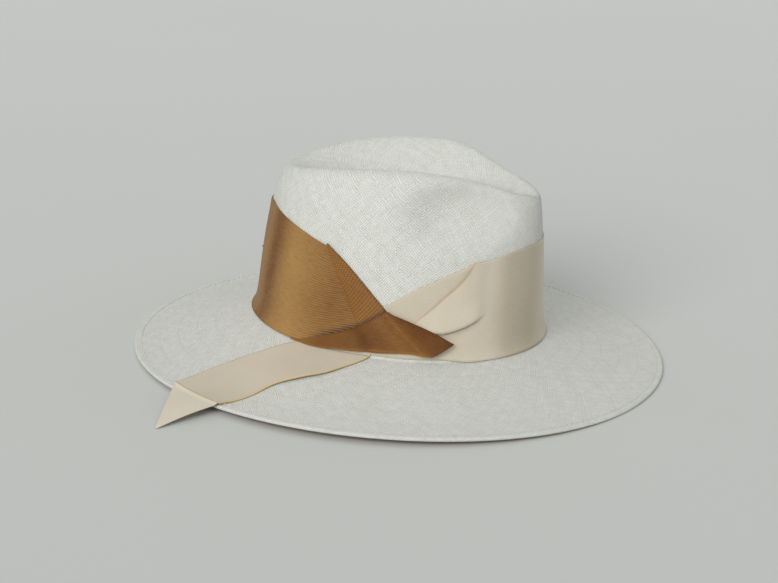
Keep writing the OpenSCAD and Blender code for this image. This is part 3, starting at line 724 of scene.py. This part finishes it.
fold_q = np.linspace(0, 1, 71)[:, None]
fold_p = np.linspace(0, 1, 25)[None, :]
inner_line = through(FOLD_INNER, fold_q)
outer_line = through(FOLD_EDGE, fold_q)
fold_line = inner_line * (1 - fold_p[..., None]) + outer_line * fold_p[..., None]
fold_t, fold_z = fold_line[..., 0], fold_line[..., 1]
fold_width = np.linalg.norm((on_wall(inner_line[..., 0], inner_line[..., 1])
                             - on_wall(outer_line[..., 0], outer_line[..., 1])), axis=-1)
round_edge = np.sqrt(np.maximum(0, 1 - np.maximum(0, (fold_p - 0.86) / 0.14) ** 2))
fold_off = 0.0010 + 0.0012 * round_edge * ease(fold_p, -0.05, 0.08) \
    + 0.0004 * np.sin(fold_p * np.pi)
fold_face = on_wall(fold_t, fold_z, fold_off + 0 * fold_q)
brown_fold = cloth("brown_ribbon_fold", fold_face, RIBBON_THICKNESS,
                   cloth_uvs(fold_face, fold_width * (fold_p - 1)), outward(fold_t),
                   brown_satin, marks={"painted_knot_shadow": knot_shadow(fold_t, fold_z),
                                       "flat": 0.85 + 0 * fold_t, "chain": 1.0 + 0 * fold_t,
                                       "shade": 0.05 + 0.12 * fold_p + 0 * fold_q})
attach(brown_fold, "hat")

# --------------------------------------------------------------------------
# Brown knot and its free end: the same ribbon turned over on itself, satin side out, drawn
# along the foot of the crown and cut on a slant. The end bends forward of the knot's root.
# --------------------------------------------------------------------------
KNOT_LOW = [(121, 0.0003), (117, 0.0003), (112.5, 0.0006), (107, 0.0014), (101.5, 0.0025),
            (95, 0.0034), (88, 0.0044), (84, 0.0048), (75.5, 0.0055), (69, 0.0053),
            (63.5, 0.0052)]
KNOT_WIDTH = 0.030
knot_s = np.linspace(0, 1, 181)[:, None]
knot_q = np.linspace(0, 1, 31)[None, :]
knot_top, knot_low = through(KNOT_TOP, knot_s), through(KNOT_LOW, knot_s)
knot_line = knot_low * (1 - knot_q[..., None]) + knot_top * knot_q[..., None]
knot_t, knot_z = knot_line[..., 0], knot_line[..., 1]
belly = np.sin(np.pi * knot_q) ** 0.7
ridge_t = 67 + 15 * np.clip((knot_z - 0.006) / 0.025, 0, 1)
crease = np.exp(-np.abs(knot_t - ridge_t) / 1.3)
second = np.exp(-((knot_t - 88 - 6 * knot_q) / 2.2) ** 2)
tip = ease(knot_s, 0.83, 1.0)
knot_off = (0.0011 + 0.0012 * ease(knot_t, 121, 110)
            + 0.0010 * ease(knot_t, 118, 100) * ease(knot_t, 70, 84)
            + 0.0010 * belly * ease(knot_t, 118, 102) + 0.0014 * crease * ease(knot_q, 1.05, 0.7)
            - 0.0006 * second + 0.0034 * tip ** 1.5 + ribbon_foot(knot_z))
knot_face = on_wall(knot_t, knot_z, knot_off)
# Painted shade and highlights on the knot: painted highlights along the crease, just behind it and
# along the lower edge; painted shade in front of the crease, on the second facet and near the upper
# edge; lighter towards the root.
edge_light = np.exp(-(knot_q / 0.08) ** 2)
knot_shade = np.clip(0.42 + 0.26 * ease(knot_t, ridge_t + 1, ridge_t - 6) + 0.28 * second
                     - 0.30 * crease - 0.16 * np.exp(-((knot_t - ridge_t - 6) / 2.5) ** 2)
                     + 0.10 * ease(knot_t, ridge_t + 8, ridge_t + 13) * ease(knot_t, 106, 96)
                     - 0.5 * edge_light + 0.15 * ease(knot_q, 0.85, 1)
                     - 0.35 * ease(knot_t, 106, 116), -0.4, 1)
brown_knot = cloth("brown_ribbon_knot", knot_face, RIBBON_THICKNESS,
                   cloth_uvs(knot_face, KNOT_WIDTH * knot_q + 0 * knot_s), outward(knot_t),
                   brown_satin, marks={"shade": knot_shade,
                                       "chain": 0.3 * ease(knot_t, 108, 98)})
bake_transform(brown_knot)
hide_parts("brown_ribbon_end")

# --------------------------------------------------------------------------
# Cream ribbon's end: comes out from under the knot, lies in a slack wave on the brim, creases
# over at the brim edge and reaches down to the table, where it is cut on a slant.
# --------------------------------------------------------------------------
TAIL_BACK = [(116.5, 0.010), (121.4, 0.120), (124.6, 0.235), (127.5, 0.380), (129.2, 0.56),
             (129.6, 0.76), (129.8, 0.945)]
TAIL_FORE = [(86.8, 0.012), (93.4, 0.160), (98.0, 0.288), (103.8, 0.405), (108.8, 0.550),
             (111.0, 0.770), (113.8, 0.985)]
FLAP_LENGTH, TIP_SHIFT, TIP_HEIGHT, CUT_WIDTH = 0.0484, 0.455, 0.0010, 0.0012
TIE_WIDTH, TUCK_FORE_T, TUCK_BACK_T = 0.057, 86.8, 116.5
tail_k = np.linspace(0, 1, 121)[:, None]
tail_q = np.concatenate([[0, 0.008, 0.018, 0.028, 0.038, 0.05, 0.065], np.linspace(0.085, 1, 40)])
tail_q = tail_q[None, :]
fore, aft = through(TAIL_FORE, tail_k), through(TAIL_BACK, tail_k)
tail_line = fore * (1 - tail_q[..., None]) + aft * tail_q[..., None]
tail_t, tail_r = tail_line[..., 0], tail_line[..., 1]
tail_lift = 0.0013 + 0.0012 * np.sin(np.pi * tail_k) ** 2 * (1 - tail_q) ** 2 \
    + 0.0007 * np.sin(5.2 * tail_k + 2.6 * tail_q) * np.sin(np.pi * tail_k) \
    + 0.0009 * np.exp(-tail_k / 0.05) * (1 - 1.6 * tail_q) - 0.0006 * ease(tail_q, 0.05, 0.0)
tail_lift = np.maximum(tail_lift, 0.0008) * (1 - ease(tail_k, 0.9, 1.0)) \
    + 0.0016 * ease(tail_k, 0.9, 1.0)
tail_rows = on_brim(tail_t, tail_r, tail_lift)
crease_row = tail_rows[-1]
tuck_k = np.linspace(1, 0, 12)[:, None]
tuck_z = 0.0008 + tuck_k * (0.0007 + 0.0060 * (1 - tail_q))
tuck_t = (TUCK_FORE_T - tuck_k) * (1 - tail_q) + (TUCK_BACK_T - 4 * tuck_k) * tail_q
tuck_rows = on_wall(tuck_t, tuck_z, 0.0006 + 0.0008 * (1 - tuck_k) * (1 - 0.8 * tail_q))
crease_way = crease_row[-1] - crease_row[0]
crease_span = np.linalg.norm(crease_way)
crease_way = crease_way / crease_span
crease_out = np.array([-crease_way[1], crease_way[0], 0])
crease_out /= np.linalg.norm(crease_out)
flap_k = np.linspace(0, 1, 61)[1:, None, None]
tip_point = (crease_row[0] + crease_row[-1]) / 2 + crease_out * FLAP_LENGTH \
    - TIP_SHIFT * crease_span * crease_way
tip_point[2] = REST_Z + TIP_HEIGHT
cut_way = CUT_WIDTH * crease_way
flap_end = tip_point + cut_way * tail_q[0][:, None]
flap_rows = crease_row[None] * (1 - flap_k) + flap_end[None] * flap_k
crease_hump = 0.0009 * np.exp(-((flap_k[..., 0] * FLAP_LENGTH - 0.0015) / 0.002) ** 2)
flap_rows[..., 2] += 0.0010 * np.sin(np.pi * flap_k[..., 0]) + crease_hump
tie_face = np.concatenate([tuck_rows, tail_rows, flap_rows])
tie_k = np.concatenate([tuck_k[:, 0] * 0 - 1, tail_k[:, 0] - 1, flap_k[:, 0, 0]])[:, None]
edge_band = TIE_WIDTH * tail_q
tie_gold_and_crease_highlight = np.where(edge_band < 0.0006, 1.0, 0.0) \
    + 0.6 * np.exp(-((edge_band - 0.0019) / 0.0004) ** 2)
tie_gold_and_crease_highlight = np.clip(tie_gold_and_crease_highlight, 0, 1) * ease(tie_k, -1.05, -0.97) * (tie_k < 0)
# On the flap, a painted highlight in the gold colour along the crease over the brim edge; the lines
# before are the real selvedge.
tie_gold_and_crease_highlight = np.maximum(tie_gold_and_crease_highlight, 0.85 * np.exp(-((tie_k * FLAP_LENGTH - 0.0012) / 0.0008) ** 2)
                      * (tie_k >= 0))
tie_shade = 0.14 - 0.34 * ease(tie_k, -0.02, 0.02) + 0 * tail_q
cream_tie = cloth("cream_ribbon_tie", tie_face, RIBBON_THICKNESS,
                  cloth_uvs(tie_face, TIE_WIDTH * tail_q + 0 * tie_k), np.array([0, 0, 1.0]),
                  cream_grosgrain, marks={"gold": tie_gold_and_crease_highlight, "shade": tie_shade})
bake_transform(cream_tie)
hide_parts("cream_ribbon_tail", "cream_ribbon_end")

# --------------------------------------------------------------------------
# Tack stitches: short brown threads that hold the ribbons to the straw at the back and where
# the two ribbons overlap on the wearer's left.
# --------------------------------------------------------------------------
tack_thread = twisted_thread("tack_thread", (0.24, 0.12, 0.04, 1), (0.09, 0.04, 0.015, 1))
TACKS = np.array([(166, 0.042), (234, 0.012), (234, 0.040), (234, 0.066)])
tack_share = np.linspace(-1, 1, 7)[None, :]
tack_t = TACKS[:, :1] + 0.9 * tack_share
tack_rise = 0.0002 + 0.0012 * (TACKS[:, :1] > 200) + 0.0008 * np.cos(tack_share * np.pi / 2) \
    + ribbon_foot(TACKS[:, 1:])
tack_paths = on_wall(tack_t, TACKS[:, 1:] + 0.0004 * tack_share, tack_rise)
ribbon_tacks = thread_stitches("ribbon_tacks", tack_paths, outward(tack_t), 0.0004, tack_thread)
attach(ribbon_tacks, "hat")
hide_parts("ribbon_tack_stitches")

# --------------------------------------------------------------------------
# Floor, light and camera: a pale sheet of paper, an even bright room, a soft key lamp from the
# wearer's right and a weak, broad lamp from the wearer's left.
# --------------------------------------------------------------------------
FLOOR_HALF = 6
floor_mesh = bpy.data.meshes.new("floor")
floor_corners = [(x * FLOOR_HALF, y * FLOOR_HALF, REST_Z)
                 for x, y in ((-1, -1), (1, -1), (1, 1), (-1, 1))]
floor_mesh.from_pydata(floor_corners, [], [(0, 1, 2, 3)])
floor_material, floor_tree, floor_shader = start_material(
    "pale_paper", Roughness=0.9, Specular_IOR_Level=0.1)
floor_place = add_node(floor_tree, "ShaderNodeTexCoord", output=3)
floor_cloud = add_node(floor_tree, "ShaderNodeTexNoise",
                       {"Vector": floor_place, "Scale": 3.0, "Detail": 3.0})
# Painted shade: the paper grows darker towards the camera, on top of a soft cloud of its own tone.
floor_shade_way = add_node(floor_tree, "ShaderNodeVectorMath", (floor_place, (-0.85, -0.5, 0.0)),
                     output=1, operation="DOT_PRODUCT")
floor_tone_and_shade = sums(floor_tree, "MULTIPLY_ADD", floor_cloud, 0.25,
                  between(floor_tree, floor_shade_way, -1.2, 0.45, 0.75, -0.1))
floor_tree.links.new(tint(floor_tree, floor_tone_and_shade, (0.615, 0.63, 0.607, 1), (0.69, 0.704, 0.683, 1)),
                     floor_shader.inputs["Base Color"])
floor_mesh.materials.append(floor_material)
floor = bpy.data.objects.new("floor", floor_mesh)
bpy.context.scene.collection.objects.link(floor)


def direction(azimuth, elevation):
    """Unit vector towards a place at that azimuth, from the front anticlockwise, and elevation."""
    a, e = np.radians([azimuth, elevation])
    return np.array([np.sin(a) * np.cos(e), -np.cos(a) * np.cos(e), np.sin(e)])


room = bpy.data.worlds.new("bright_room")
room.use_nodes = True
room.node_tree.nodes["Background"].inputs["Color"].default_value = (0.985, 1.0, 1.0, 1)
room.node_tree.nodes["Background"].inputs["Strength"].default_value = 0.495
bpy.context.scene.world = room


def soft_lamp(name, azimuth, elevation, energy, spread, colour):
    """Sun lamp that shines from that azimuth and elevation, its disc spread degrees wide."""
    data = bpy.data.lights.new(name, "SUN")
    data.angle, data.energy, data.color = np.radians(spread), energy, colour
    made = bpy.data.objects.new(name, data)
    made.location = Vector(direction(azimuth, elevation) * 2.0)
    made.rotation_euler = made.location.to_track_quat("Z", "Y").to_euler()
    bpy.context.scene.collection.objects.link(made)


soft_lamp("key_lamp", 260, 31, 1.66, 32, (1.0, 0.992, 0.975))
soft_lamp("back_lamp", 96, 50, 0.22, 70, (1.0, 1.0, 1.0))
bpy.context.scene.view_settings.view_transform = "Standard"

CAMERA_AZIMUTH, CAMERA_ELEVATION, CAMERA_REACH, CAMERA_ROLL = 286.0, 20.77, 1.7, 2.0
CAMERA_LENS, CAMERA_SENSOR, AIM_RIGHT, AIM_UP = 111.7, 36.0, -0.0075, 0.0355
back = direction(CAMERA_AZIMUTH, CAMERA_ELEVATION)
right = direction(CAMERA_AZIMUTH + 90, 0)
up = np.cross(back, right)
middle = np.array([0, 0, -0.0207])
target = middle + AIM_RIGHT * right + AIM_UP * up
camera_place = middle + CAMERA_REACH * back
back = (camera_place - target) / np.linalg.norm(camera_place - target)
right = np.cross(up, back)
right /= np.linalg.norm(right)
up = np.cross(back, right)
tilt = np.radians(CAMERA_ROLL)
rolled_right = np.cos(tilt) * right + np.sin(tilt) * up
rolled_up = np.cos(tilt) * up - np.sin(tilt) * right
camera_data = bpy.data.cameras.new("camera")
camera_data.lens = CAMERA_LENS
camera_data.sensor_width = CAMERA_SENSOR
camera = bpy.data.objects.new("camera", camera_data)
turned_axes = Matrix(np.stack([rolled_right, rolled_up, back], -1).tolist()).to_4x4()
camera.matrix_world = Matrix.Translation(Vector(camera_place)) @ turned_axes
bpy.context.scene.collection.objects.link(camera)
bpy.context.scene.camera = camera
